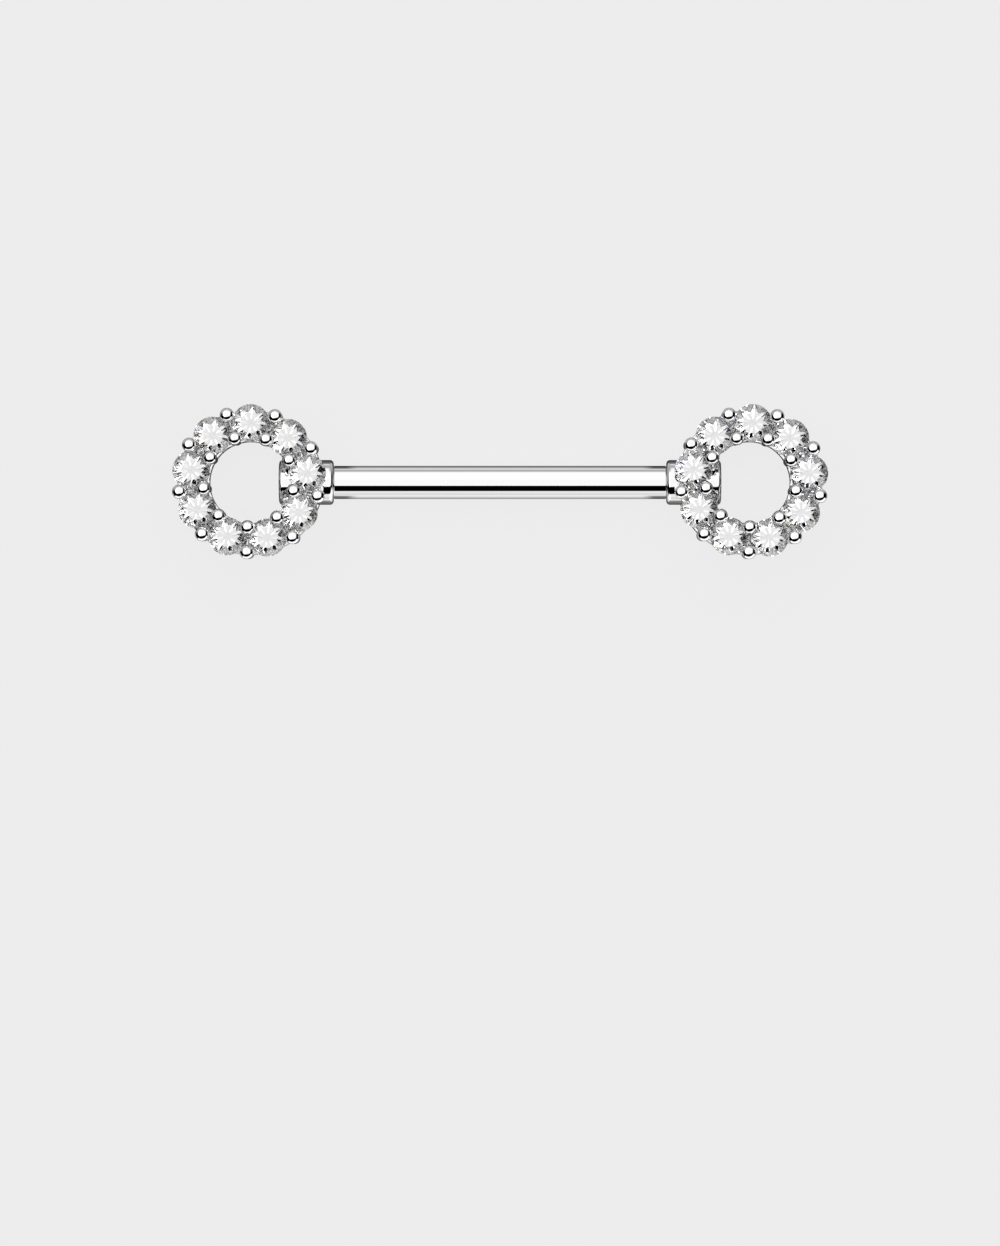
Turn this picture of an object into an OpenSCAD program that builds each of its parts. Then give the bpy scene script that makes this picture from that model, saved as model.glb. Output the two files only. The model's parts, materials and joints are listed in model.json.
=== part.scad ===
// Straight barbell with a ring of round cut stones screwed on at each end.
// The shaft lies along X, the stones face +Z, and the flat backs of both rings rest on Z = 0.
// Every length is in millimetres and every angle in degrees.

/* [Shaft] */
// Diameter of the plain shaft between the two heads (14 gauge)
shaft_d = 1.6; // [1.5:0.05:1.7]
// Length of the plain shaft between the two heads
shaft_len = 16; // [10:1:20]
// Bevel on both edges of the plain shaft
shaft_bevel = 0.04; // [0.02:0.01:0.08]
// Diameter of the threaded posts over their crests
post_d = 1.2; // [1.1:0.05:1.25]
// Length of each threaded post
post_len = 2.1; // [1.6:0.1:2.1]
// Distance from one thread crest to the next
thread_pitch = 0.25; // [0.2:0.05:0.35]
// Depth of the thread from crest to root
thread_depth = 0.13; // [0.08:0.01:0.16]

/* [Socket] */
// Diameter of the round socket behind each ring
socket_d = 2.16; // [2.1:0.02:2.3]
// Length of the socket
socket_len = 2.65; // [2.5:0.05:2.9]
// Rounding of both ends of the socket
socket_round = 0.18; // [0.1:0.02:0.3]
// Distance from the centre of the ring to the open face of the socket
ring_to_face = 4.05; // [3.95:0.05:4.3]
// Height of the socket's lowest line above the flat back of the ring
socket_lift = 0.02; // [0.01:0.01:0.1]
// Depth of the threaded hole in the socket
hole_depth = 2.3; // [2.2:0.05:2.35]
// Width of the lead-in at the mouth of that hole
hole_lead_in = 0.08; // [0.04:0.01:0.12]

/* [Stones] */
// Number of stones in each ring
stone_count = 9; // [9:1:9]
// Radius of the circle through the stone centres
stone_circle_r = 2.82; // [2.8:0.01:2.86]
// Diameter of a stone at its girdle
stone_d = 1.82; // [1.7:0.01:1.84]
// Diameter of the flat table as a share of the stone
table_share = 0.57; // [0.53:0.01:0.62]
// Slope of the eight crown mains
crown_angle = 36; // [32:0.5:38]
// Slope of the eight pavilion mains
pavilion_angle = 45; // [41:0.25:45.5]
// Thickness of the girdle at its facet corners
girdle_t = 0.06; // [0.04:0.01:0.08]
// How far the star facets reach from the table's edge to the girdle
star_share = 0.55; // [0.4:0.05:0.6]
// How far the lower halves reach from the girdle to the culet
lower_half_share = 0.8; // [0.7:0.01:0.85]
// Direction of the first stone, seen from above
first_stone_angle = 88.25; // [80:0.25:100]
// Turn of each stone's facets against those of the stone before it
stone_turn = 17; // [0:1:45]
// Metal left between a stone's lowest point and the hole in the socket
metal_under_stone = 0.1; // [0.06:0.01:0.2]

/* [Setting] */
// Thickness of the two hoops at the back of the ring
hoop_h = 0.6; // [0.52:0.02:0.8]
// Width of each hoop
hoop_w = 0.36; // [0.3:0.02:0.4]
// Outer radius of the outer hoop
outer_hoop_r = 3.5; // [3.46:0.02:3.6]
// Inner radius of the inner hoop
inner_hoop_r = 1.96; // [1.94:0.01:2.0]
// Width of the bars that join the hoops
bar_w = 0.4; // [0.3:0.02:0.44]
// Thickness of the plate that the stones sit in
plate_h = 0.7; // [0.4:0.02:0.7]
// Height from the top of the plate to the stones' girdles
plate_drop = 0.2; // [0.1:0.02:0.3]
// Outer radius of the plate
plate_outer_r = 3.44; // [3.4:0.02:3.5]
// Inner radius of the plate
plate_inner_r = 2.02; // [2:0.01:2.1]
// Radius of the open window under each stone
window_r = 0.5; // [0.3:0.02:0.54]

/* [Prongs] */
// Diameter of the beads along the outside of the ring
outer_bead_d = 0.67; // [0.62:0.01:0.68]
// Radius of the circle through the outer beads
outer_bead_circle_r = 3.39; // [3.36:0.01:3.42]
// Diameter of the stems under the outer beads
outer_stem_d = 0.56; // [0.5:0.01:0.57]
// Distance by which the outer stems stand out past their beads
outer_stem_out = 0.02; // [0.01:0.01:0.03]
// Diameter of the beads along the hole of the ring
inner_bead_d = 0.61; // [0.58:0.01:0.62]
// Radius of the circle through the inner beads
inner_bead_circle_r = 2.19; // [2.17:0.01:2.22]
// Diameter of the stems under the inner beads
inner_stem_d = 0.5; // [0.44:0.01:0.51]
// Distance by which the inner stems stand in past their beads
inner_stem_in = 0.03; // [0.01:0.01:0.03]
// Height of the beads above the stones' tables
bead_over_table = 0.12; // [0.06:0.01:0.18]

/* [Fit] */
// Radial play of the posts in the sockets
post_play = 0.03; // [0.02:0.01:0.05]
// Play between a stone and its seat
stone_play = 0.025; // [0.02:0.005:0.04]
// Gap between the shaft's shoulder and the socket
shoulder_gap = 0.02; // [0.01:0.01:0.05]

/* [Hidden] */
$fn = 64;
metal_colour = [0.80, 0.80, 0.82];
stone_colour = [0.95, 0.97, 1.00];
over = 0.5; // how far a cutting shape runs past what it cuts

// The shaft's line, and where the centre of each ring lies along it.
axis_z = socket_lift + socket_d / 2;
head_x = shaft_len / 2 + ring_to_face;
hole_r = post_d / 2 + post_play;

// Radii of a stone: girdle, table corners, tips of the star facets, tips of the lower halves.
stone_step = 360 / stone_count;
girdle_r = stone_d / 2;
table_r = girdle_r * table_share;
eighth = 360 / 8;
facet_cos = cos(eighth / 2);
star_r = table_r * facet_cos + star_share * (girdle_r - table_r * facet_cos);
lower_r = girdle_r * (1 - lower_half_share);

// Heights of a stone from its lowest point, the culet, up to the table.
culet_z = axis_z + hole_r + metal_under_stone;
girdle_low_z = culet_z + girdle_r * tan(pavilion_angle);
girdle_high_z = girdle_low_z + girdle_t;
table_z = girdle_high_z + (girdle_r - table_r) * tan(crown_angle);
star_z = girdle_high_z + (girdle_r - star_r * facet_cos) * tan(crown_angle);
lower_z = culet_z + lower_r * facet_cos * tan(pavilion_angle);

// The girdle has 32 corners. The facets above and below it are flat, so its edge waves
// a little between the corners that the facets share.
girdle_count = 32;
wave_cos = cos(eighth / 4);
wave_out = girdle_r * (1 - wave_cos);
crown_slope = (star_z - girdle_high_z) / ((girdle_r - star_r) * wave_cos);
pavilion_slope = (girdle_low_z - lower_z) / ((girdle_r - lower_r) * wave_cos);

plate_top_z = girdle_low_z - plate_drop;
bead_top_z = table_z + bead_over_table;

LEFT = -1;
RIGHT = 1;

function around(r, angle, z) = [r * cos(angle), r * sin(angle), z];
function stone_angle(i) = first_stone_angle - (i - 1) * stone_step;
function prong_angle(i) = stone_angle(i) + stone_step / 2;

// Half outline of one threaded post: its foot on the shoulder, its ridges, its bevelled tip.
function post_outline() =
    let (
        crest = post_d / 2,
        root = crest - thread_depth,
        turns = floor((post_len - thread_depth) / thread_pitch),
        quarter = thread_pitch / 4
    )
    concat(
        [[0, -over], [root, -over]],
        [for (i = [0:turns - 1], s = [0:3])
            [s == 1 || s == 2 ? crest : root, i * thread_pitch + s * quarter]],
        [[root, post_len], [0, post_len]]
    );

// One smooth round bar with a narrower threaded post at each end, turned from one piece.
module shaft() {
    half = shaft_len / 2;
    r = shaft_d / 2;
    color(metal_colour)
    translate([0, 0, axis_z])
    rotate([0, 90, 0])
    union() {
        rotate_extrude()
            polygon([[0, -half], [r - shaft_bevel, -half], [r, -half + shaft_bevel],
                     [r, half - shaft_bevel], [r - shaft_bevel, half], [0, half]]);
        for (end = [LEFT, RIGHT])
            mirror([0, 0, end == LEFT ? 1 : 0])
                translate([0, 0, half])
                    rotate_extrude() polygon(post_outline());
    }
}

// Round-ended socket, drawn from its open face towards its closed end.
module socket() {
    r = socket_d / 2;
    length = socket_len - shoulder_gap;
    rotate_extrude()
        union() {
            square([r - socket_round, length]);
            translate([0, socket_round]) square([r, length - 2 * socket_round]);
            for (y = [socket_round, length - socket_round])
                translate([r - socket_round, y]) circle(socket_round);
        }
}

// Threaded hole, open at the face, with a lead-in and a closed inner end.
module socket_hole() {
    translate([0, 0, -over]) cylinder(r = hole_r, h = over + hole_depth);
    translate([0, 0, -hole_lead_in])
        cylinder(r1 = hole_r + 2 * hole_lead_in, r2 = hole_r, h = 2 * hole_lead_in);
}

// Puts a shape drawn along +Z from the socket's face on the head of the given side.
module along_socket(side) {
    translate([-side * (ring_to_face - shoulder_gap), 0, axis_z])
        rotate([0, side * 90, 0])
            children();
}

module hoop(inner_r, outer_r, low_z, high_z) {
    rotate_extrude()
        translate([inner_r, low_z]) square([outer_r - inner_r, high_z - low_z]);
}

// A prong: a straight stem with a round bead on it that holds two stones.
module prong(bead_d, bead_circle_r, stem_d, stem_circle_r) {
    bead_z = bead_top_z - bead_d / 2;
    translate([stem_circle_r, 0, 0]) cylinder(d = stem_d, h = bead_z);
    translate([bead_circle_r, 0, bead_z]) sphere(d = bead_d);
}

// Back hoops, bars, stone plate and prongs, before anything is cut from them.
module ring_body() {
    hoop(inner_hoop_r, inner_hoop_r + hoop_w, 0, hoop_h);
    hoop(outer_hoop_r - hoop_w, outer_hoop_r, 0, hoop_h);
    hoop(plate_inner_r, plate_outer_r, plate_top_z - plate_h, plate_top_z);
    for (i = [1:stone_count])
        rotate([0, 0, prong_angle(i)]) {
            translate([inner_hoop_r + hoop_w / 2, -bar_w / 2, 0])
                cube([outer_hoop_r - inner_hoop_r - hoop_w, bar_w, hoop_h]);
            prong(outer_bead_d, outer_bead_circle_r, outer_stem_d,
                  outer_bead_circle_r + outer_stem_out);
            prong(inner_bead_d, inner_bead_circle_r, inner_stem_d,
                  inner_bead_circle_r - inner_stem_in);
        }
}

// The room that a stone needs: the stone's own outline with the play added all round.
module stone_room() {
    sink = stone_play / cos(pavilion_angle);
    rotate_extrude()
        polygon([
            [0, culet_z - sink],
            [girdle_r + stone_play, girdle_low_z - sink + stone_play * tan(pavilion_angle)],
            [girdle_r + stone_play, girdle_high_z + stone_play],
            [star_r, star_z + stone_play / cos(crown_angle)],
            [table_r, table_z + stone_play],
            [0, table_z + stone_play]
        ]);
}

// One head: the stone-set ring and its socket, cast and soldered into one piece of metal.
module head(side) {
    window_z = plate_top_z - plate_h - stone_play;
    color(metal_colour)
    translate([side * head_x, 0, 0])
    difference() {
        union() {
            ring_body();
            along_socket(side) socket();
        }
        for (i = [1:stone_count])
            rotate([0, 0, stone_angle(i)])
                translate([stone_circle_r, 0, 0]) {
                    stone_room();
                    translate([0, 0, window_z]) cylinder(r = window_r, h = plate_h);
                }
        along_socket(side) socket_hole();
    }
}

// A round brilliant with a table, 8 stars, 8 crown mains, 16 upper halves, a thin girdle,
// 16 lower halves and 8 pavilion mains that meet in a point.
module stone() {
    wave = [0, wave_out];
    points = concat(
        [for (k = [0:7]) around(table_r, k * eighth, table_z)],
        [for (k = [0:7]) around(star_r, (k + 0.5) * eighth, star_z)],
        [for (j = [0:girdle_count - 1])
            around(girdle_r, j * 360 / girdle_count, girdle_high_z - wave[j % 2] * crown_slope)],
        [for (j = [0:girdle_count - 1])
            around(girdle_r, j * 360 / girdle_count, girdle_low_z + wave[j % 2] * pavilion_slope)],
        [for (k = [0:7]) around(lower_r, (k + 0.5) * eighth, lower_z)],
        [[0, 0, culet_z]]
    );
    star = 8;
    high = star + 8;
    low = high + girdle_count;
    lower = low + girdle_count;
    culet = lower + 8;
    faces = concat(
        [[for (k = [7:-1:0]) k]],
        [for (k = [0:7]) [(k + 1) % 8, star + k, k]],
        [for (k = [0:7]) [star + k, high + 4 * k, star + (k + 7) % 8, k]],
        [for (k = [0:7]) [high + 4 * k + 2, high + 4 * k + 1, high + 4 * k, star + k]],
        [for (k = [0:7])
            [high + (4 * k + 4) % girdle_count, high + 4 * k + 3, high + 4 * k + 2, star + k]],
        [for (j = [0:girdle_count - 1])
            let (next = (j + 1) % girdle_count)
            [high + next, low + next, low + j, high + j]],
        [for (k = [0:7]) [low + 4 * k, low + 4 * k + 1, low + 4 * k + 2, lower + k]],
        [for (k = [0:7])
            [low + 4 * k + 2, low + 4 * k + 3, low + (4 * k + 4) % girdle_count, lower + k]],
        [for (k = [0:7]) [lower + (k + 7) % 8, low + 4 * k, lower + k, culet]]
    );
    polyhedron(points, faces, convexity = 2);
}

// Stone number i of the head on the given side, with its facets turned by its own amount.
module set_stone(side, i) {
    color(stone_colour)
    translate([side * head_x, 0, 0])
    rotate([0, 0, stone_angle(i)])
    translate([stone_circle_r, 0, 0])
    rotate([0, 0, i * stone_turn])
        stone();
}

shaft();
head(LEFT);  // left_head
head(RIGHT);  // right_head
for (i = [1:stone_count])
    set_stone(LEFT, i);
for (i = [1:stone_count])
    set_stone(RIGHT, i);
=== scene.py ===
import json
import math
import random

import bpy
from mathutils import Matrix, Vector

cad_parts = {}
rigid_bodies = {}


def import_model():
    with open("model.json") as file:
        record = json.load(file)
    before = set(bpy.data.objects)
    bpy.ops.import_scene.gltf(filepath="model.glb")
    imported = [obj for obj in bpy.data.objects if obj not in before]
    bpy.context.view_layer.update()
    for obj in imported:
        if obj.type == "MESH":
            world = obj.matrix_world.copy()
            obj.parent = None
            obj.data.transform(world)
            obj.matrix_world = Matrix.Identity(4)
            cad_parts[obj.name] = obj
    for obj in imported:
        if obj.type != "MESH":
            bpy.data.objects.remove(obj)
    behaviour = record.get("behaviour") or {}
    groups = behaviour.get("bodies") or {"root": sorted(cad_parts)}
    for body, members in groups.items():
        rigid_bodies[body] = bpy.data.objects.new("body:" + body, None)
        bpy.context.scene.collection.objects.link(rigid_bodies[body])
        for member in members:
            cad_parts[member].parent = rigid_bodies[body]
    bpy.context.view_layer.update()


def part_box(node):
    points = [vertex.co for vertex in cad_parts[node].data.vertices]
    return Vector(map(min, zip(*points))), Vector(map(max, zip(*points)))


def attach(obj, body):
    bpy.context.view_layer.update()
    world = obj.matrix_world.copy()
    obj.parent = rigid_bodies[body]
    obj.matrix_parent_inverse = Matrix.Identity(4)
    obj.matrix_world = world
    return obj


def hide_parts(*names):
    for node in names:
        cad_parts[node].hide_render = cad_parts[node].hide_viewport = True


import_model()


# Shaft
# The shaft is one length of round surgical steel. Its two ends are turned down to narrow posts,
# a fine thread is cut on each, and the plain part is polished along its length on a wheel.
mm = 0.001
shaft_low, shaft_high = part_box("shaft")
axis_z = (shaft_low.z + shaft_high.z) / 2
shaft_r = (shaft_high.z - shaft_low.z) / 2
shaft_half = 8.0 * mm
shaft_edge = 0.04 * mm
post_length = shaft_high.x - shaft_half
post_r = 0.60 * mm
post_tip_share = 0.9
thread_root_r = 0.47 * mm
thread_sink = 0.02 * mm
thread_pitch = 0.25 * mm
thread_start = shaft_half + 0.6 * thread_pitch
thread_turns = 7
thread_steps = 40
crest_width = 0.14 * thread_pitch
foot_width = 0.8 * thread_pitch
along_x = (0, math.pi / 2, 0)
round_sides = 96
square_on = 0.99
crease = math.radians(35)


def only(*pieces):
    """Leaves these pieces selected, with the first one active."""
    if bpy.context.mode != "OBJECT":
        bpy.ops.object.mode_set(mode="OBJECT")
    bpy.ops.object.select_all(action="DESELECT")
    for piece in pieces:
        piece.select_set(True)
    bpy.context.view_layer.objects.active = pieces[0]


def settle(piece):
    """Puts the piece's place, turn and scale into its mesh."""
    only(piece)
    bpy.ops.object.transform_apply(location=True, rotation=True, scale=True)


def added(name):
    """Names the primitive that was just added, and settles it."""
    piece = bpy.context.object
    piece.name = piece.data.name = name
    settle(piece)
    return piece


def pick_faces(piece, wanted):
    """Opens the piece for editing with just the faces selected that wanted(face) names."""
    only(piece)
    bpy.ops.object.mode_set(mode="EDIT")
    bpy.ops.mesh.select_mode(type="FACE")
    bpy.ops.mesh.select_all(action="DESELECT")
    bpy.ops.object.mode_set(mode="OBJECT")
    for face in piece.data.polygons:
        face.select = bool(wanted(face))
    bpy.ops.object.mode_set(mode="EDIT")


def close_edit(doubles):
    """Merges points nearer than this, turns every face outwards and leaves edit mode."""
    bpy.ops.mesh.select_all(action="SELECT")
    bpy.ops.mesh.remove_doubles(threshold=doubles)
    bpy.ops.mesh.normals_make_consistent(inside=False)
    bpy.ops.object.mode_set(mode="OBJECT")


def apply_modifier(piece, kind, **settings):
    """Adds one modifier with these settings and applies it."""
    modifier = piece.modifiers.new(kind.lower(), kind)
    for setting, value in settings.items():
        setattr(modifier, setting, value)
    only(piece)
    bpy.ops.object.modifier_apply(modifier=modifier.name)


def combine(piece, others, operation):
    """Fuses the others to the piece, or cuts them out of it, and removes them."""
    for other in others:
        apply_modifier(piece, "BOOLEAN", object=other, operation=operation, solver="MANIFOLD")
    for other in others:
        bpy.data.objects.remove(other)


def smooth(piece):
    """Shades the piece smooth up to a crease, with its broad faces kept truly flat or round."""
    only(piece)
    bpy.ops.object.shade_smooth_by_angle(angle=crease)
    apply_modifier(piece, "WEIGHTED_NORMAL", mode="FACE_AREA", keep_sharp=True)


def thread_ridge(side):
    """One helical ridge, drawn as a small wedge of steel and wound along the post."""
    bpy.ops.mesh.primitive_plane_add(size=1, location=(thread_start, 0, 0),
                                     rotation=(math.pi / 2, 0, 0))
    ridge = added("thread_ridge")
    for point in ridge.data.vertices:
        outer = point.co.z > 0
        width = crest_width if outer else foot_width
        point.co.x = thread_start + math.copysign(width / 2, point.co.x - thread_start)
        point.co.z = post_r if outer else thread_root_r - thread_sink
    pick_faces(ridge, lambda face: True)
    bpy.ops.mesh.delete(type="ONLY_FACE")
    bpy.ops.object.mode_set(mode="OBJECT")
    apply_modifier(ridge, "SCREW", axis="X", screw_offset=thread_pitch, steps=thread_steps,
                   render_steps=thread_steps, iterations=thread_turns, use_merge_vertices=False)
    only(ridge)
    bpy.ops.object.mode_set(mode="EDIT")
    bpy.ops.mesh.select_mode(type="EDGE")
    bpy.ops.mesh.select_all(action="DESELECT")
    bpy.ops.mesh.select_non_manifold()
    bpy.ops.mesh.edge_face_add()
    close_edit(doubles=1e-8)
    if side < 0:
        ridge.rotation_euler = (0, math.pi, 0)
    ridge.location.z = axis_z
    settle(ridge)
    return ridge


bpy.ops.object.select_all(action="DESELECT")
bpy.ops.mesh.primitive_cylinder_add(vertices=round_sides, radius=shaft_r, depth=2 * shaft_half,
                                    location=(0, 0, axis_z), rotation=along_x)
shaft = added("steel_shaft")
pick_faces(shaft, lambda face: abs(face.normal.x) > square_on)
bpy.ops.mesh.bevel(offset=shaft_edge, segments=3)
for side in (-1, 1):
    pick_faces(shaft, lambda face: face.normal.x * side > square_on)
    bpy.ops.mesh.inset(thickness=shaft_r - shaft_edge - thread_root_r)
    bpy.ops.mesh.extrude_region_move(
        TRANSFORM_OT_translate={"value": (side * (post_length - shaft_edge), 0, 0)})
    bpy.ops.mesh.extrude_region_move(TRANSFORM_OT_translate={"value": (side * shaft_edge, 0, 0)})
    bpy.ops.transform.resize(value=(1, post_tip_share, post_tip_share),
                             center_override=(0, 0, axis_z))
    bpy.ops.object.mode_set(mode="OBJECT")
combine(shaft, [thread_ridge(side) for side in (-1, 1)], "UNION")
smooth(shaft)


def noise(place, size, detail):
    """A cloudy pattern with patches of about this size, in the tree that nodes belongs to."""
    texture = nodes.new("ShaderNodeTexNoise")
    texture.inputs["Scale"].default_value = 1 / size
    texture.inputs["Detail"].default_value = detail
    links.new(place, texture.inputs["Vector"])
    return texture


def maths(operation, *values):
    """The result of one operation on values that are numbers or the outputs of nodes."""
    node = nodes.new("ShaderNodeMath")
    node.operation = operation
    for socket, value in zip(node.inputs, values):
        if isinstance(value, bpy.types.NodeSocket):
            links.new(value, socket)
        else:
            socket.default_value = value
    return node.outputs["Value"]


def new_material(name):
    """A new material with its Principled BSDF, whose nodes are the ones that are built next."""
    material = bpy.data.materials.new(name)
    material.use_nodes = True
    tree = material.node_tree
    return material, tree.nodes, tree.links, tree.nodes["Principled BSDF"]


polish = bpy.data.node_groups.new("polish", "ShaderNodeTree")
for socket_name, in_or_out, kind in [
    ("Place", "INPUT", "NodeSocketVector"),
    ("Mirror", "INPUT", "NodeSocketFloat"),
    ("Haze", "INPUT", "NodeSocketFloat"),
    ("Relief", "INPUT", "NodeSocketFloat"),
    ("Roughness", "OUTPUT", "NodeSocketFloat"),
    ("Normal", "OUTPUT", "NodeSocketVector"),
]:
    polish.interface.new_socket(socket_name, in_out=in_or_out, socket_type=kind)
nodes = polish.nodes
links = polish.links
given = nodes.new("NodeGroupInput")
result = nodes.new("NodeGroupOutput")
cloud = noise(given.outputs["Place"], size=0.7 * mm, detail=5)
cloud.inputs["Roughness"].default_value = 0.6
links.new(maths("MULTIPLY_ADD", cloud.outputs["Fac"], given.outputs["Haze"],
                given.outputs["Mirror"]), result.inputs["Roughness"])
hairlines = noise(given.outputs["Place"], size=0.06 * mm, detail=3)
hairlines.inputs["Distortion"].default_value = 0.4
bumps = nodes.new("ShaderNodeBump")
links.new(given.outputs["Relief"], bumps.inputs["Distance"])
links.new(hairlines.outputs["Fac"], bumps.inputs["Height"])
links.new(bumps.outputs["Normal"], result.inputs["Normal"])


def steel_finish(name, base, mirror, haze, relief):
    """Polished steel: haze is how much duller its dull places are, relief how deep marks go."""
    material, own_nodes, own_links, metal = new_material(name)
    metal.inputs["Base Color"].default_value = base
    metal.inputs["Metallic"].default_value = 1
    place = own_nodes.new("ShaderNodeTexCoord")
    finish = own_nodes.new("ShaderNodeGroup")
    finish.node_tree = polish
    finish.inputs["Mirror"].default_value = mirror
    finish.inputs["Haze"].default_value = haze
    finish.inputs["Relief"].default_value = relief
    own_links.new(place.outputs["Object"], finish.inputs["Place"])
    own_links.new(finish.outputs["Roughness"], metal.inputs["Roughness"])
    own_links.new(finish.outputs["Normal"], metal.inputs["Normal"])
    return material


shaft.data.materials.clear()
shaft.data.materials.append(
    steel_finish("ground_steel", base=(0.90, 0.90, 0.91, 1), mirror=0.01, haze=0.015,
                 relief=0.00004 * mm))
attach(shaft, "shaft")
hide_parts("shaft")


# Heads
# Each head is one piece of cast and soldered steel: two hoops joined by bars at the back, a
# plate with a seat for each stone, eighteen prongs, and a socket that screws on to the shaft.
ring_x = 12.05 * mm
ring_to_face = 4.03 * mm
stone_count = 9
step = 2 * math.pi / stone_count
first_stone = math.radians(88.25)
stone_circle_r = 2.82 * mm
girdle_r = 0.91 * mm
table_r = 0.519 * mm
star_r = 0.716 * mm
stone_play = 0.025 * mm
culet_z = 1.83 * mm
girdle_low_z = 2.74 * mm
girdle_high_z = 2.80 * mm
star_z = 2.98 * mm
table_z = 3.084 * mm
hoop_width = 0.36 * mm
hoop_height = 0.6 * mm
outer_hoop_r = 3.5 * mm
inner_hoop_r = 1.96 * mm
bar_width = 0.4 * mm
cast_edge = 0.05 * mm
plate_inner_r = 2.02 * mm
plate_outer_r = 3.44 * mm
plate_low_z = 1.84 * mm
plate_high_z = 2.54 * mm
socket_r = 1.08 * mm
socket_length = 2.63 * mm
socket_edge = 0.18 * mm
hole_r = 0.63 * mm
hole_depth = 2.3 * mm
lead_in = 0.08 * mm
window_r = 0.5 * mm
window_below = 0.03 * mm
groove_r = 0.34 * mm
groove_above = 0.1 * mm
groove_edge = 0.02 * mm
bead_top_z = 3.203 * mm
bead_flatness = 0.7
bead_lean = 4
smallest_bead = 0.97
hoop_sides = 144
hole_sides = 64
stem_sides = 40
bead_sides = 36
bead_rows = 20
touching = 0.01 * mm
hoop_rim_width = 0.12 * mm
hoop_rim_height = 0.06 * mm
seat_wall_inner_r = window_r * 0.99
seat_wall_outer_r = girdle_r + 1.5 * stone_play
seat_wall_low_z = plate_low_z - 0.05 * mm
seat_wall_high_z = girdle_high_z + 2 * stone_play
rough_plate_depth = 0.25 * mm
prongs = [
    # bead radius, bead circle, stem radius, stem circle
    (0.346 * mm, 3.378 * mm, 0.28 * mm, 3.41 * mm),
    (0.345 * mm, 2.19 * mm, 0.25 * mm, 2.16 * mm),
]
random.seed(9)


def polar(radius, angle, z):
    """A point at this radius and angle round the middle of a ring."""
    return (radius * math.cos(angle), radius * math.sin(angle), z)


def lathe(name, corners):
    """Turns a rectangle between two (radius, height) corners into a ring with rounded edges."""
    (inner, low), (outer, high) = corners
    bpy.ops.mesh.primitive_plane_add(size=1, rotation=(math.pi / 2, 0, 0))
    bpy.ops.transform.resize(value=(outer - inner, 1, high - low))
    bpy.ops.transform.translate(value=((inner + outer) / 2, 0, (low + high) / 2))
    ring = added(name)
    pick_faces(ring, lambda face: True)
    bpy.ops.mesh.bevel(offset=cast_edge, segments=3, affect="VERTICES")
    bpy.ops.mesh.delete(type="ONLY_FACE")
    bpy.ops.mesh.select_all(action="SELECT")
    bpy.ops.mesh.spin(steps=hoop_sides, angle=2 * math.pi, center=(0, 0, 0), axis=(0, 0, 1))
    close_edit(doubles=1e-7)
    return ring


def stem_and_bead(angle, bead_r, bead_circle_r, stem_r, stem_circle_r):
    """A round stem from the back of the head up to its bead, which is pushed over two stones."""
    bead_z = bead_top_z - bead_flatness * bead_r
    bpy.ops.mesh.primitive_cylinder_add(vertices=stem_sides, radius=stem_r, depth=bead_z,
                                        location=polar(stem_circle_r, angle, bead_z / 2))
    stem = added("stem")
    leans = [math.radians(random.uniform(-bead_lean, bead_lean)) for turn in range(2)]
    bpy.ops.mesh.primitive_uv_sphere_add(segments=bead_sides, ring_count=bead_rows,
                                         radius=bead_r * random.uniform(smallest_bead, 1.0),
                                         location=polar(bead_circle_r, angle, bead_z),
                                         rotation=(*leans, 0), scale=(1, 1, bead_flatness))
    bead = added("bead")
    return [stem, bead]


def bar(angle):
    """A short flat bar between the two hoops."""
    long = outer_hoop_r - inner_hoop_r - hoop_width
    middle = (outer_hoop_r + inner_hoop_r) / 2
    bpy.ops.mesh.primitive_cube_add(size=1, location=polar(middle, angle, hoop_height / 2),
                                    rotation=(0, 0, angle), scale=(long, bar_width, hoop_height))
    piece = added("bar")
    apply_modifier(piece, "BEVEL", width=cast_edge, segments=3)
    return piece


def hoops_and_plate():
    """The inner hoop, the outer hoop and the plate that carries the stones."""
    return [
        lathe("inner_hoop", ((inner_hoop_r, 0), (inner_hoop_r + hoop_width, hoop_height))),
        lathe("outer_hoop", ((outer_hoop_r - hoop_width, 0), (outer_hoop_r, hoop_height))),
        lathe("plate", ((plate_inner_r, plate_low_z), (plate_outer_r, plate_high_z))),
    ]


def bars_and_prongs():
    """One bar, one outer prong and one inner prong between each stone and the next."""
    pieces = []
    for k in range(stone_count):
        angle = first_stone - (k - 0.5) * step
        pieces.append(bar(angle))
        for sizes in prongs:
            pieces += stem_and_bead(angle, *sizes)
    return pieces


def socket(side):
    """The round socket, its mouth towards the shaft and its closed end in the ring's hole."""
    middle = -side * (ring_to_face - socket_length / 2)
    bpy.ops.mesh.primitive_cylinder_add(vertices=round_sides, radius=socket_r, depth=socket_length,
                                        location=(middle, 0, axis_z), rotation=along_x)
    piece = added("socket")
    pick_faces(piece, lambda face: abs(face.normal.x) > square_on)
    bpy.ops.mesh.bevel(offset=socket_edge, segments=8)
    bpy.ops.object.mode_set(mode="OBJECT")
    return piece


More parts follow.
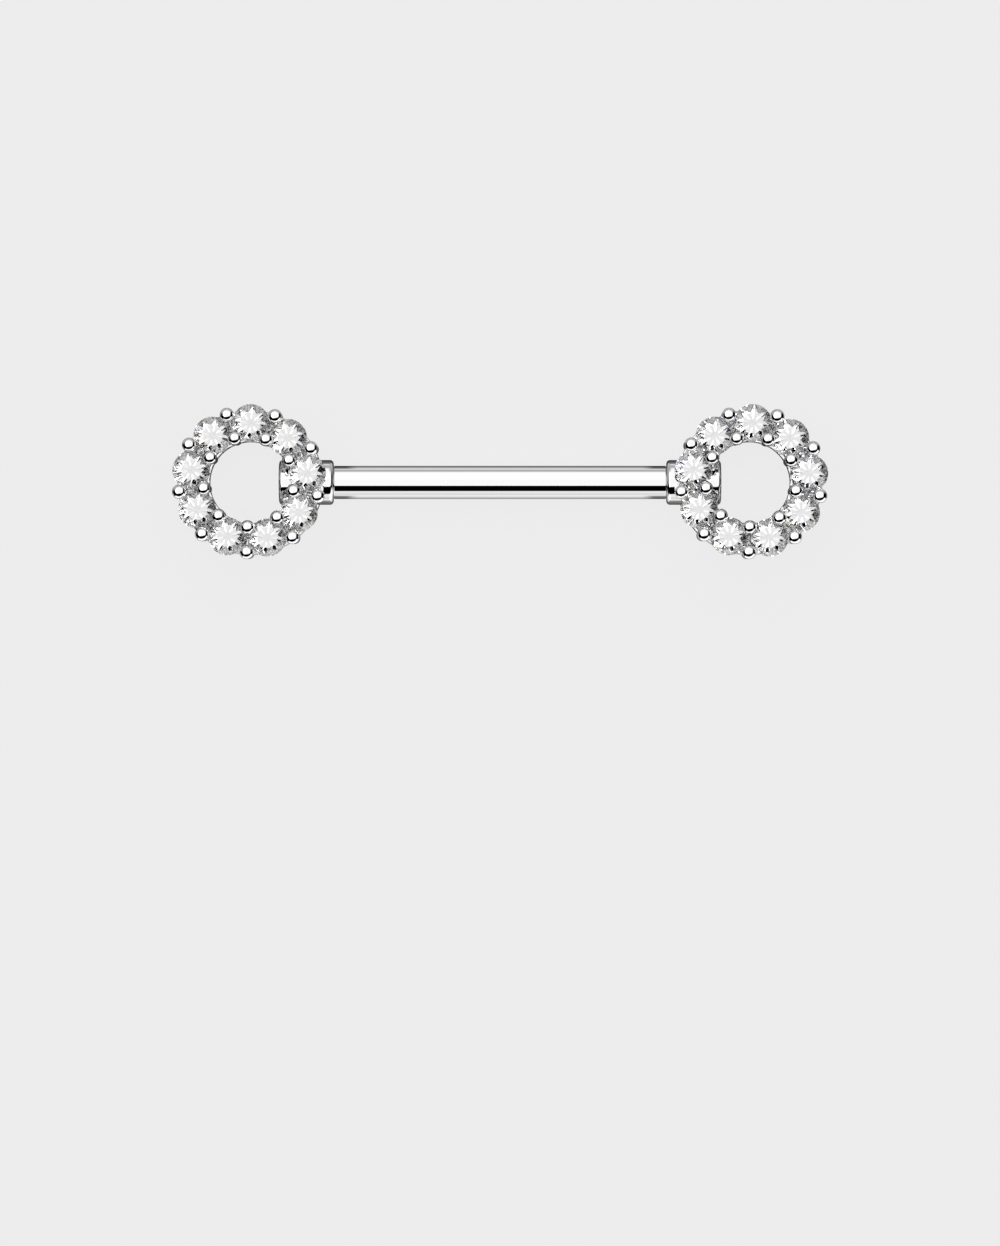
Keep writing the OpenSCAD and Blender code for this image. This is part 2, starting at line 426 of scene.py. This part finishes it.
def socket_hole(side):
    """What the tap takes out of the socket, with a lead-in at the mouth."""
    inner_end = ring_to_face - hole_depth
    bpy.ops.mesh.primitive_cylinder_add(vertices=hole_sides, radius=hole_r, depth=hole_depth,
                                        location=(-side * (inner_end + hole_depth / 2), 0, axis_z),
                                        rotation=along_x)
    piece = added("hole")
    pick_faces(piece, lambda face: face.normal.x * -side > square_on)
    wider = (hole_r + 2 * lead_in) / hole_r
    bpy.ops.transform.translate(value=(side * lead_in, 0, 0))
    bpy.ops.mesh.extrude_region_move(
        TRANSFORM_OT_translate={"value": (-side * 2 * lead_in, 0, 0)})
    bpy.ops.transform.resize(value=(1, wider, wider),
                             center_override=(-side * ring_to_face, 0, axis_z))
    bpy.ops.object.mode_set(mode="OBJECT")
    return piece


def seat(angle):
    """What the setting bur takes out for one stone: a window, the stone's cone and its crown."""
    slope = (girdle_low_z - culet_z) / girdle_r
    cone_z = culet_z + window_r * slope - stone_play
    bpy.ops.mesh.primitive_cylinder_add(
        vertices=hole_sides, radius=window_r, depth=cone_z - plate_low_z + window_below,
        location=polar(stone_circle_r, angle, (cone_z + plate_low_z - window_below) / 2))
    bur = added("seat")
    pick_faces(bur, lambda face: face.normal.z > square_on)
    centre = polar(stone_circle_r, angle, 0)
    radius, height = window_r, cone_z
    for next_radius, next_height in [
        (girdle_r + stone_play, girdle_low_z - stone_play / 2),
        (girdle_r + stone_play, girdle_high_z + stone_play),
        (star_r, star_z + 1.2 * stone_play),
        (table_r, table_z + stone_play),
    ]:
        bpy.ops.mesh.extrude_region_move(
            TRANSFORM_OT_translate={"value": (0, 0, next_height - height)})
        grow = next_radius / radius
        bpy.ops.transform.resize(value=(grow, grow, 1), center_override=centre)
        radius, height = next_radius, next_height
    bpy.ops.object.mode_set(mode="OBJECT")
    return bur


def groove(angle):
    """What a graver cuts out of the plate between two stones: a sharp V with sloping ends."""
    (_, outer_circle_r, _, _), (_, inner_circle_r, _, _) = prongs
    middle = (outer_circle_r + inner_circle_r) / 2
    bpy.ops.mesh.primitive_cylinder_add(
        vertices=4, radius=groove_r, depth=outer_circle_r - inner_circle_r,
        location=polar(middle, angle, plate_high_z + groove_above),
        rotation=(0, math.pi / 2, angle))
    cutter = added("groove")
    apply_modifier(cutter, "BEVEL", width=groove_edge, segments=1)
    return cutter


def in_seat(point, side):
    """Whether a point lies on the wall of a seat, or on the plate between two seats."""
    x, y = point.x - side * ring_x, point.y
    nearest = round((math.atan2(y, x) - first_stone) / step) * step + first_stone
    from_axis = math.dist((x, y), polar(stone_circle_r, nearest, 0)[:2])
    on_wall = seat_wall_inner_r < from_axis < seat_wall_outer_r
    between_stones = plate_high_z - point.z < rough_plate_depth
    return (on_wall and seat_wall_low_z < point.z < seat_wall_high_z
            or between_stones and point.z < plate_high_z + touching)


def rough_with_painted_shade(metal, face, side):
    """Whether a face of a head lies where no polishing wheel reaches, in or between the seats or
    on the inner hoop's rim, and so takes raw steel with painted shade.
    """
    x, y, z = face.center
    x -= side * ring_x
    from_middle = math.hypot(x, y)
    in_socket = x * -side > 0 and math.hypot(y, z - axis_z) < socket_r + 2 * touching
    on_hoop = (from_middle < inner_hoop_r + hoop_rim_width
               and abs(z - hoop_height) < hoop_rim_height)
    in_plate = plate_inner_r + touching < from_middle < plate_outer_r - touching
    if in_socket or not (on_hoop or in_plate):
        return False
    corners = [metal.data.vertices[k].co for k in face.vertices]
    return on_hoop or all(in_seat(corner, side) for corner in corners)


def head(name, side, body, node):
    """Casts, solders, cuts and polishes one whole head, and gives it its place in the frame."""
    metal, *others = hoops_and_plate()
    soldered_on = bars_and_prongs()
    combine(metal, others, "UNION")
    combine(metal, [groove(first_stone - (k - 0.5) * step) for k in range(stone_count)],
            "DIFFERENCE")
    combine(metal, soldered_on + [socket(side)], "UNION")
    combine(metal, [seat(first_stone - k * step) for k in range(stone_count)], "DIFFERENCE")
    combine(metal, [socket_hole(side)], "DIFFERENCE")
    metal.name = metal.data.name = name
    metal.location.x = side * ring_x
    settle(metal)
    smooth(metal)
    metal.data.materials.clear()
    metal.data.materials.append(cast_steel)
    metal.data.materials.append(raw_steel_painted_shade)
    # Faces left raw take the second material, whose colour is painted shade in the setting's
    # recesses.
    for face in metal.data.polygons:
        face.material_index = rough_with_painted_shade(metal, face, side)
    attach(metal, body)
    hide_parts(node)


def colour_ramp(amount, stops):
    """A colour for each amount from nought to one, through (position, colour) stops."""
    node = nodes.new("ShaderNodeValToRGB")
    elements = node.color_ramp.elements
    while len(elements) < len(stops):
        elements.new(0.5)
    for element, (position, colour) in zip(elements, stops):
        element.position = position
        element.color = (*colour, 1)
    links.new(amount, node.inputs["Fac"])
    return node


cast_steel = steel_finish("cast_steel", base=(0.90, 0.90, 0.90, 1), mirror=0.01, haze=0.03,
                          relief=0.0002 * mm)
raw_steel_painted_shade = steel_finish("raw_steel_painted_shade", base=(0.8, 0.8, 0.8, 1), mirror=0.06, haze=0.15,
                         relief=0.012 * mm)
nodes = raw_steel_painted_shade.node_tree.nodes
links = raw_steel_painted_shade.node_tree.links
# The raw steel's colour is painted shade: a mottle of near black and near white that darkens the
# seats, the plate between the stones and the inner hoop's rim, where the setting lies in shade.
painted_seat_shade = noise(nodes["Texture Coordinate"].outputs["Object"], size=0.11 * mm, detail=4)
painted_seat_shade_colours = colour_ramp(painted_seat_shade.outputs["Fac"], [
    (0.41, (0.15, 0.145, 0.145)),
    (0.51, (0.95, 0.95, 0.94)),
])
links.new(painted_seat_shade_colours.outputs["Color"], nodes["Principled BSDF"].inputs["Base Color"])
head("steel_head_left", -1, "left_end", "left_head")
head("steel_head_right", 1, "right_end", "right_head")


# Stones
# Eighteen white cubic zirconias, each cut as a round brilliant and polished flat facet by facet.
# They lie in their seats with the two inner and two outer beads beside them pushed over the edge.
steepest_table = 0.98
steepest_crown = 0.05
painted_fire_middle = 0.5


def rescaled(value, low, high, to_low=0.0, to_high=1.0, curve="LINEAR"):
    """What ran from low to high now runs from to_low to to_high, and stops there."""
    node = nodes.new("ShaderNodeMapRange")
    node.interpolation_type = curve
    node.inputs["From Min"].default_value = low
    node.inputs["From Max"].default_value = high
    node.inputs["To Min"].default_value = to_low
    node.inputs["To Max"].default_value = to_high
    links.new(value, node.inputs["Value"])
    return node.outputs["Result"]


cut_zirconia, nodes, links, zirconia = new_material("cut_zirconia")
zirconia.inputs["Metallic"].default_value = 0
zirconia.inputs["Transmission Weight"].default_value = 1
zirconia.inputs["IOR"].default_value = 2.16
place = nodes.new("ShaderNodeTexCoord")
facing = nodes.new("ShaderNodeSeparateXYZ")
links.new(place.outputs["Normal"], facing.inputs["Vector"])
on_crown = maths("MULTIPLY", maths("LESS_THAN", facing.outputs["Z"], steepest_table),
                 maths("GREATER_THAN", facing.outputs["Z"], steepest_crown))
# The crown facets' colour is painted fire: faint violet, blue, pink and yellow tints standing in
# for the light the stone splits into colours, while the table keeps a plain pale grey.
painted_fire = noise(place.outputs["Object"], size=0.16 * mm, detail=1)
crown_painted_fire = maths("MULTIPLY", maths("SUBTRACT", painted_fire.outputs["Fac"], painted_fire_middle), on_crown)
painted_fire_colours = colour_ramp(maths("ADD", crown_painted_fire, painted_fire_middle), [
    (0.33, (0.70, 0.66, 1.0)),
    (0.38, (0.74, 0.91, 1.0)),
    (0.43, (0.93, 0.93, 0.93)),
    (0.57, (0.93, 0.93, 0.93)),
    (0.62, (1.0, 0.80, 0.88)),
    (0.67, (1.0, 0.92, 0.62)),
])
links.new(painted_fire_colours.outputs["Color"], zirconia.inputs["Base Color"])
facet_polish = noise(place.outputs["Object"], size=0.2 * mm, detail=4)
links.new(rescaled(facet_polish.outputs["Fac"], 0.0, 1.0, to_high=0.02),
          zirconia.inputs["Roughness"])
for end in ("left", "right"):
    for number in range(1, stone_count + 1):
        for slot in bpy.data.objects[f"{end}_stone_{number}"].material_slots:
            slot.material = cut_zirconia


# Floor
# A sheet of white card on the table, glowing evenly of itself so that hardly a shadow shows on it.
# In the polished steel alone the card carries painted shade, darkest close to the shaft and round
# the rings.
card_size = 0.6
painted_shade_reach = 20
painted_card_greys = [
    # millimetres behind the shaft, how light the card's painted shade leaves it there in the steel
    (-20, 0.95), (-7, 0.98), (-4, 0.92), (-3, 0.74), (-1.2, 0.30),
    (1.8, 0.16), (3.6, 0.62), (9, 0.60), (20, 0.45),
]
painted_ring_shade_start = 5 * mm
painted_ring_shade_end = 11 * mm
painted_ring_shade_grey = 0.25
shade_lift_start = 7.8 * mm
shade_lift_full = 6.8 * mm
matt_slant = 0.60
gloss_slant = 0.80
bpy.ops.object.select_all(action="DESELECT")
bpy.ops.mesh.primitive_plane_add(size=card_size)
floor = added("floor")
white_card, nodes, links, card_surface = new_material("white_card")
card_surface.inputs["Base Color"].default_value = (0.06, 0.06, 0.06, 1)
card_surface.inputs["Roughness"].default_value = 0.9
card_surface.inputs["Specular IOR Level"].default_value = 0.0
card_surface.inputs["Emission Color"].default_value = (1, 1, 1, 1)
card_surface.inputs["Emission Strength"].default_value = 0.80
card_place = nodes.new("ShaderNodeTexCoord")
card_axes = nodes.new("ShaderNodeSeparateXYZ")
links.new(card_place.outputs["Object"], card_axes.inputs["Vector"])
from_front = rescaled(card_axes.outputs["Y"], -painted_shade_reach * mm, painted_shade_reach * mm)
painted_card_shade = colour_ramp(from_front, [
    ((behind + painted_shade_reach) / (2 * painted_shade_reach), (grey, grey, grey))
    for behind, grey in painted_card_greys
])
painted_card_shade.color_ramp.interpolation = "EASE"
# Round each ring the card seen in the steel gets more painted shade, except beside the shaft.
from_centre = maths("ABSOLUTE", card_axes.outputs["X"])
from_ring = maths("SUBTRACT", from_centre, ring_x)
from_ring = maths("SQRT", maths("ADD", maths("POWER", from_ring, 2.0),
                                maths("POWER", card_axes.outputs["Y"], 2.0)))
clear_of_painted_ring_shade = rescaled(from_ring, painted_ring_shade_start, painted_ring_shade_end, to_low=painted_ring_shade_grey,
                         curve="SMOOTHSTEP")
no_painted_shade_by_shaft = rescaled(from_centre, shade_lift_start, shade_lift_full, curve="SMOOTHSTEP")
card_in_steel_painted_shade = nodes.new("ShaderNodeEmission")
links.new(painted_card_shade.outputs["Color"], card_in_steel_painted_shade.inputs["Color"])
links.new(maths("MAXIMUM", clear_of_painted_ring_shade, no_painted_shade_by_shaft), card_in_steel_painted_shade.inputs["Strength"])
card_gloss = nodes.new("ShaderNodeBsdfGlossy")
card_gloss.inputs["Color"].default_value = (1, 1, 1, 1)
card_gloss.inputs["Roughness"].default_value = 0.05
slant = nodes.new("ShaderNodeLayerWeight")
ray = nodes.new("ShaderNodeLightPath")
seen_from = nodes.new("ShaderNodeNewGeometry")
clear = nodes.new("ShaderNodeBsdfTransparent")


def mixed(share, first, second):
    """The first shader, turning into the second as the share goes from nought to one."""
    node = nodes.new("ShaderNodeMixShader")
    links.new(share, node.inputs["Fac"])
    links.new(first, node.inputs[1])
    links.new(second, node.inputs[2])
    return node.outputs["Shader"]


card_mirrored = mixed(rescaled(slant.outputs["Facing"], matt_slant, gloss_slant),
                      card_in_steel_painted_shade.outputs["Emission"], card_gloss.outputs["BSDF"])
in_steel = maths("MULTIPLY", ray.outputs["Is Glossy Ray"],
                 maths("SUBTRACT", 1.0, ray.outputs["Is Transmission Ray"]))
card_front = mixed(in_steel, card_surface.outputs["BSDF"], card_mirrored)
card_whole = mixed(seen_from.outputs["Backfacing"], card_front, clear.outputs["BSDF"])
links.new(card_whole, nodes["Material Output"].inputs["Surface"])
floor.data.materials.append(white_card)


# Light
# A softbox hangs over the table. Black cloth closes off its sides and front, with a gap to a pale
# card, and more card stands at the back. A side card and one near the top serve the stones alone.
softbox_edges = [
    # x, y and z shares of a direction, whose sum is above nought inside, and the softness
    (-0.14, 1, 0.44, 0.02),
    (-0.48, 1, 0.63, 0.03),
    (0.77, 1, 1.05, 0.03),
    (-1, 0.3, 0.99, 0.04),
    (1, 0, 1.28, 0.04),
]
cloth_gap_edges = [
    (-0.404, -1, 0, 0.04),
    (1.05, -1, 0, 0.04),
]
side_card_edges = [
    (-0.342, -0.94, 0, 0.02),
    (-0.866, 0.5, 0, 0.02),
]
softbox_back = math.radians(78)
softbox_back_soft = math.radians(9)
overhead = math.cos(math.radians(17))
softbox_light = 1.1
softbox_left_light = 1.7
softbox_left_in_stone = 2.4
softbox_rim_light = 0.36
overhead_light = 1.05
overhead_in_stone = 0.94
cloth_light = 0.0
back_card_light = 0.45
front_card_low_light = 0.75
front_card_light = 0.90
front_card_side_light = 1.25
side_card_in_stone = 7.0
top_card_in_stone = 0.75
backdrop_light = 0.86
room = bpy.data.worlds.new("room")
bpy.context.scene.world = room
room.use_nodes = True
nodes = room.node_tree.nodes
links = room.node_tree.links
nodes.clear()
direction = nodes.new("ShaderNodeTexCoord")
axes = nodes.new("ShaderNodeSeparateXYZ")
links.new(direction.outputs["Generated"], axes.inputs["Vector"])
ray = nodes.new("ShaderNodeLightPath")
in_stone = ray.outputs["Is Transmission Ray"]


def above(value, edge, soft):
    """Nought below the edge and one above it, with a smooth step of this softness."""
    return rescaled(value, edge - soft, edge + soft, curve="SMOOTHSTEP")


def below(value, edge, soft):
    """One below the edge and nought above it, with a smooth step of this softness."""
    return maths("SUBTRACT", 1.0, above(value, edge, soft))


def blend(amount, first, second):
    """The first light, turning into the second as the amount goes from nought to one."""
    node = nodes.new("ShaderNodeMixRGB")
    links.new(amount, node.inputs["Fac"])
    for socket_number, value in ((1, first), (2, second)):
        if isinstance(value, bpy.types.NodeSocket):
            links.new(value, node.inputs[socket_number])
        else:
            node.inputs[socket_number].default_value = (value, value, value, 1)
    return node.outputs["Color"]


def weighed(x_share, y_share, z_share):
    """A sum of the direction's three parts, each times its share."""
    total = maths("MULTIPLY", axes.outputs["X"], x_share)
    total = maths("ADD", total, maths("MULTIPLY", axes.outputs["Y"], y_share))
    return maths("ADD", total, maths("MULTIPLY", axes.outputs["Z"], z_share))


def all_of(*masks):
    """The masks' product."""
    product = masks[0]
    for mask in masks[1:]:
        product = maths("MULTIPLY", product, mask)
    return product


def within(edges):
    """One for the directions that lie inside all of these edges, and nought outside them."""
    return all_of(*[above(weighed(x, y, z), 0.0, soft) for x, y, z, soft in edges])


sideways = maths("ABSOLUTE", axes.outputs["X"])
height = axes.outputs["Z"]
beyond_shaft = above(sideways, edge=0.06, soft=0.03)
to_back = maths("ARCTAN2", axes.outputs["Y"], height)
softbox = all_of(within(softbox_edges), below(to_back, softbox_back, softbox_back_soft))
diffuser = blend(above(weighed(-1, 0, 0), edge=0.35, soft=0.3), softbox_light,
                 blend(in_stone, softbox_left_light, softbox_left_in_stone))
diffuser = blend(above(height, overhead, soft=0.03), diffuser,
                 blend(in_stone, overhead_light, overhead_in_stone))
softbox_rim = all_of(beyond_shaft, below(height, edge=0.46, soft=0.22))
diffuser = blend(softbox_rim, diffuser, softbox_rim_light)
cloth_rise = maths("ADD", maths("MULTIPLY", sideways, 0.22),
                   maths("MULTIPLY", axes.outputs["X"], 0.20))
over_cloth = above(maths("SUBTRACT", axes.outputs["Y"], cloth_rise), edge=0.25, soft=0.25)
back_wall = blend(over_cloth, cloth_light, back_card_light)
front_card = blend(above(height, edge=0.12, soft=0.06), front_card_low_light, front_card_light)
front_card = blend(beyond_shaft, front_card, front_card_side_light)
cloth_gap = all_of(
    within(cloth_gap_edges),
    below(height, edge=0.45, soft=0.02),
    below(weighed(-0.27, 0, 1), edge=0.435, soft=0.02))
walls = blend(cloth_gap, back_wall, front_card)
side_card = all_of(
    within(side_card_edges),
    above(height, edge=0.1, soft=0.02),
    below(height, edge=0.5, soft=0.02))
walls = blend(all_of(in_stone, side_card), walls, side_card_in_stone)
top_card = above(height, edge=0.82, soft=0.03)
walls = blend(all_of(in_stone, top_card), walls, top_card_in_stone)
light = nodes.new("ShaderNodeBackground")
links.new(blend(softbox, walls, diffuser), light.inputs["Color"])
backdrop = nodes.new("ShaderNodeBackground")
backdrop.inputs["Color"].default_value = (backdrop_light, backdrop_light, backdrop_light, 1)
seen = mixed(ray.outputs["Is Camera Ray"], light.outputs["Background"],
             backdrop.outputs["Background"])
room_output = nodes.new("ShaderNodeOutputWorld")
links.new(seen, room_output.inputs["Surface"])
bpy.context.scene.view_settings.view_transform = "Standard"


# Camera
# It looks straight down at the table from a third of a metre, with a long lens. The barbell
# lies above the middle of its picture.
camera_data = bpy.data.cameras.new("camera")
camera_data.lens = 200
camera_data.clip_start = 0.01
camera_data.clip_end = 10
camera = bpy.data.objects.new("camera", camera_data)
camera.location = (0, -6.78 * mm, 335 * mm)
bpy.context.scene.collection.objects.link(camera)
bpy.context.scene.camera = camera
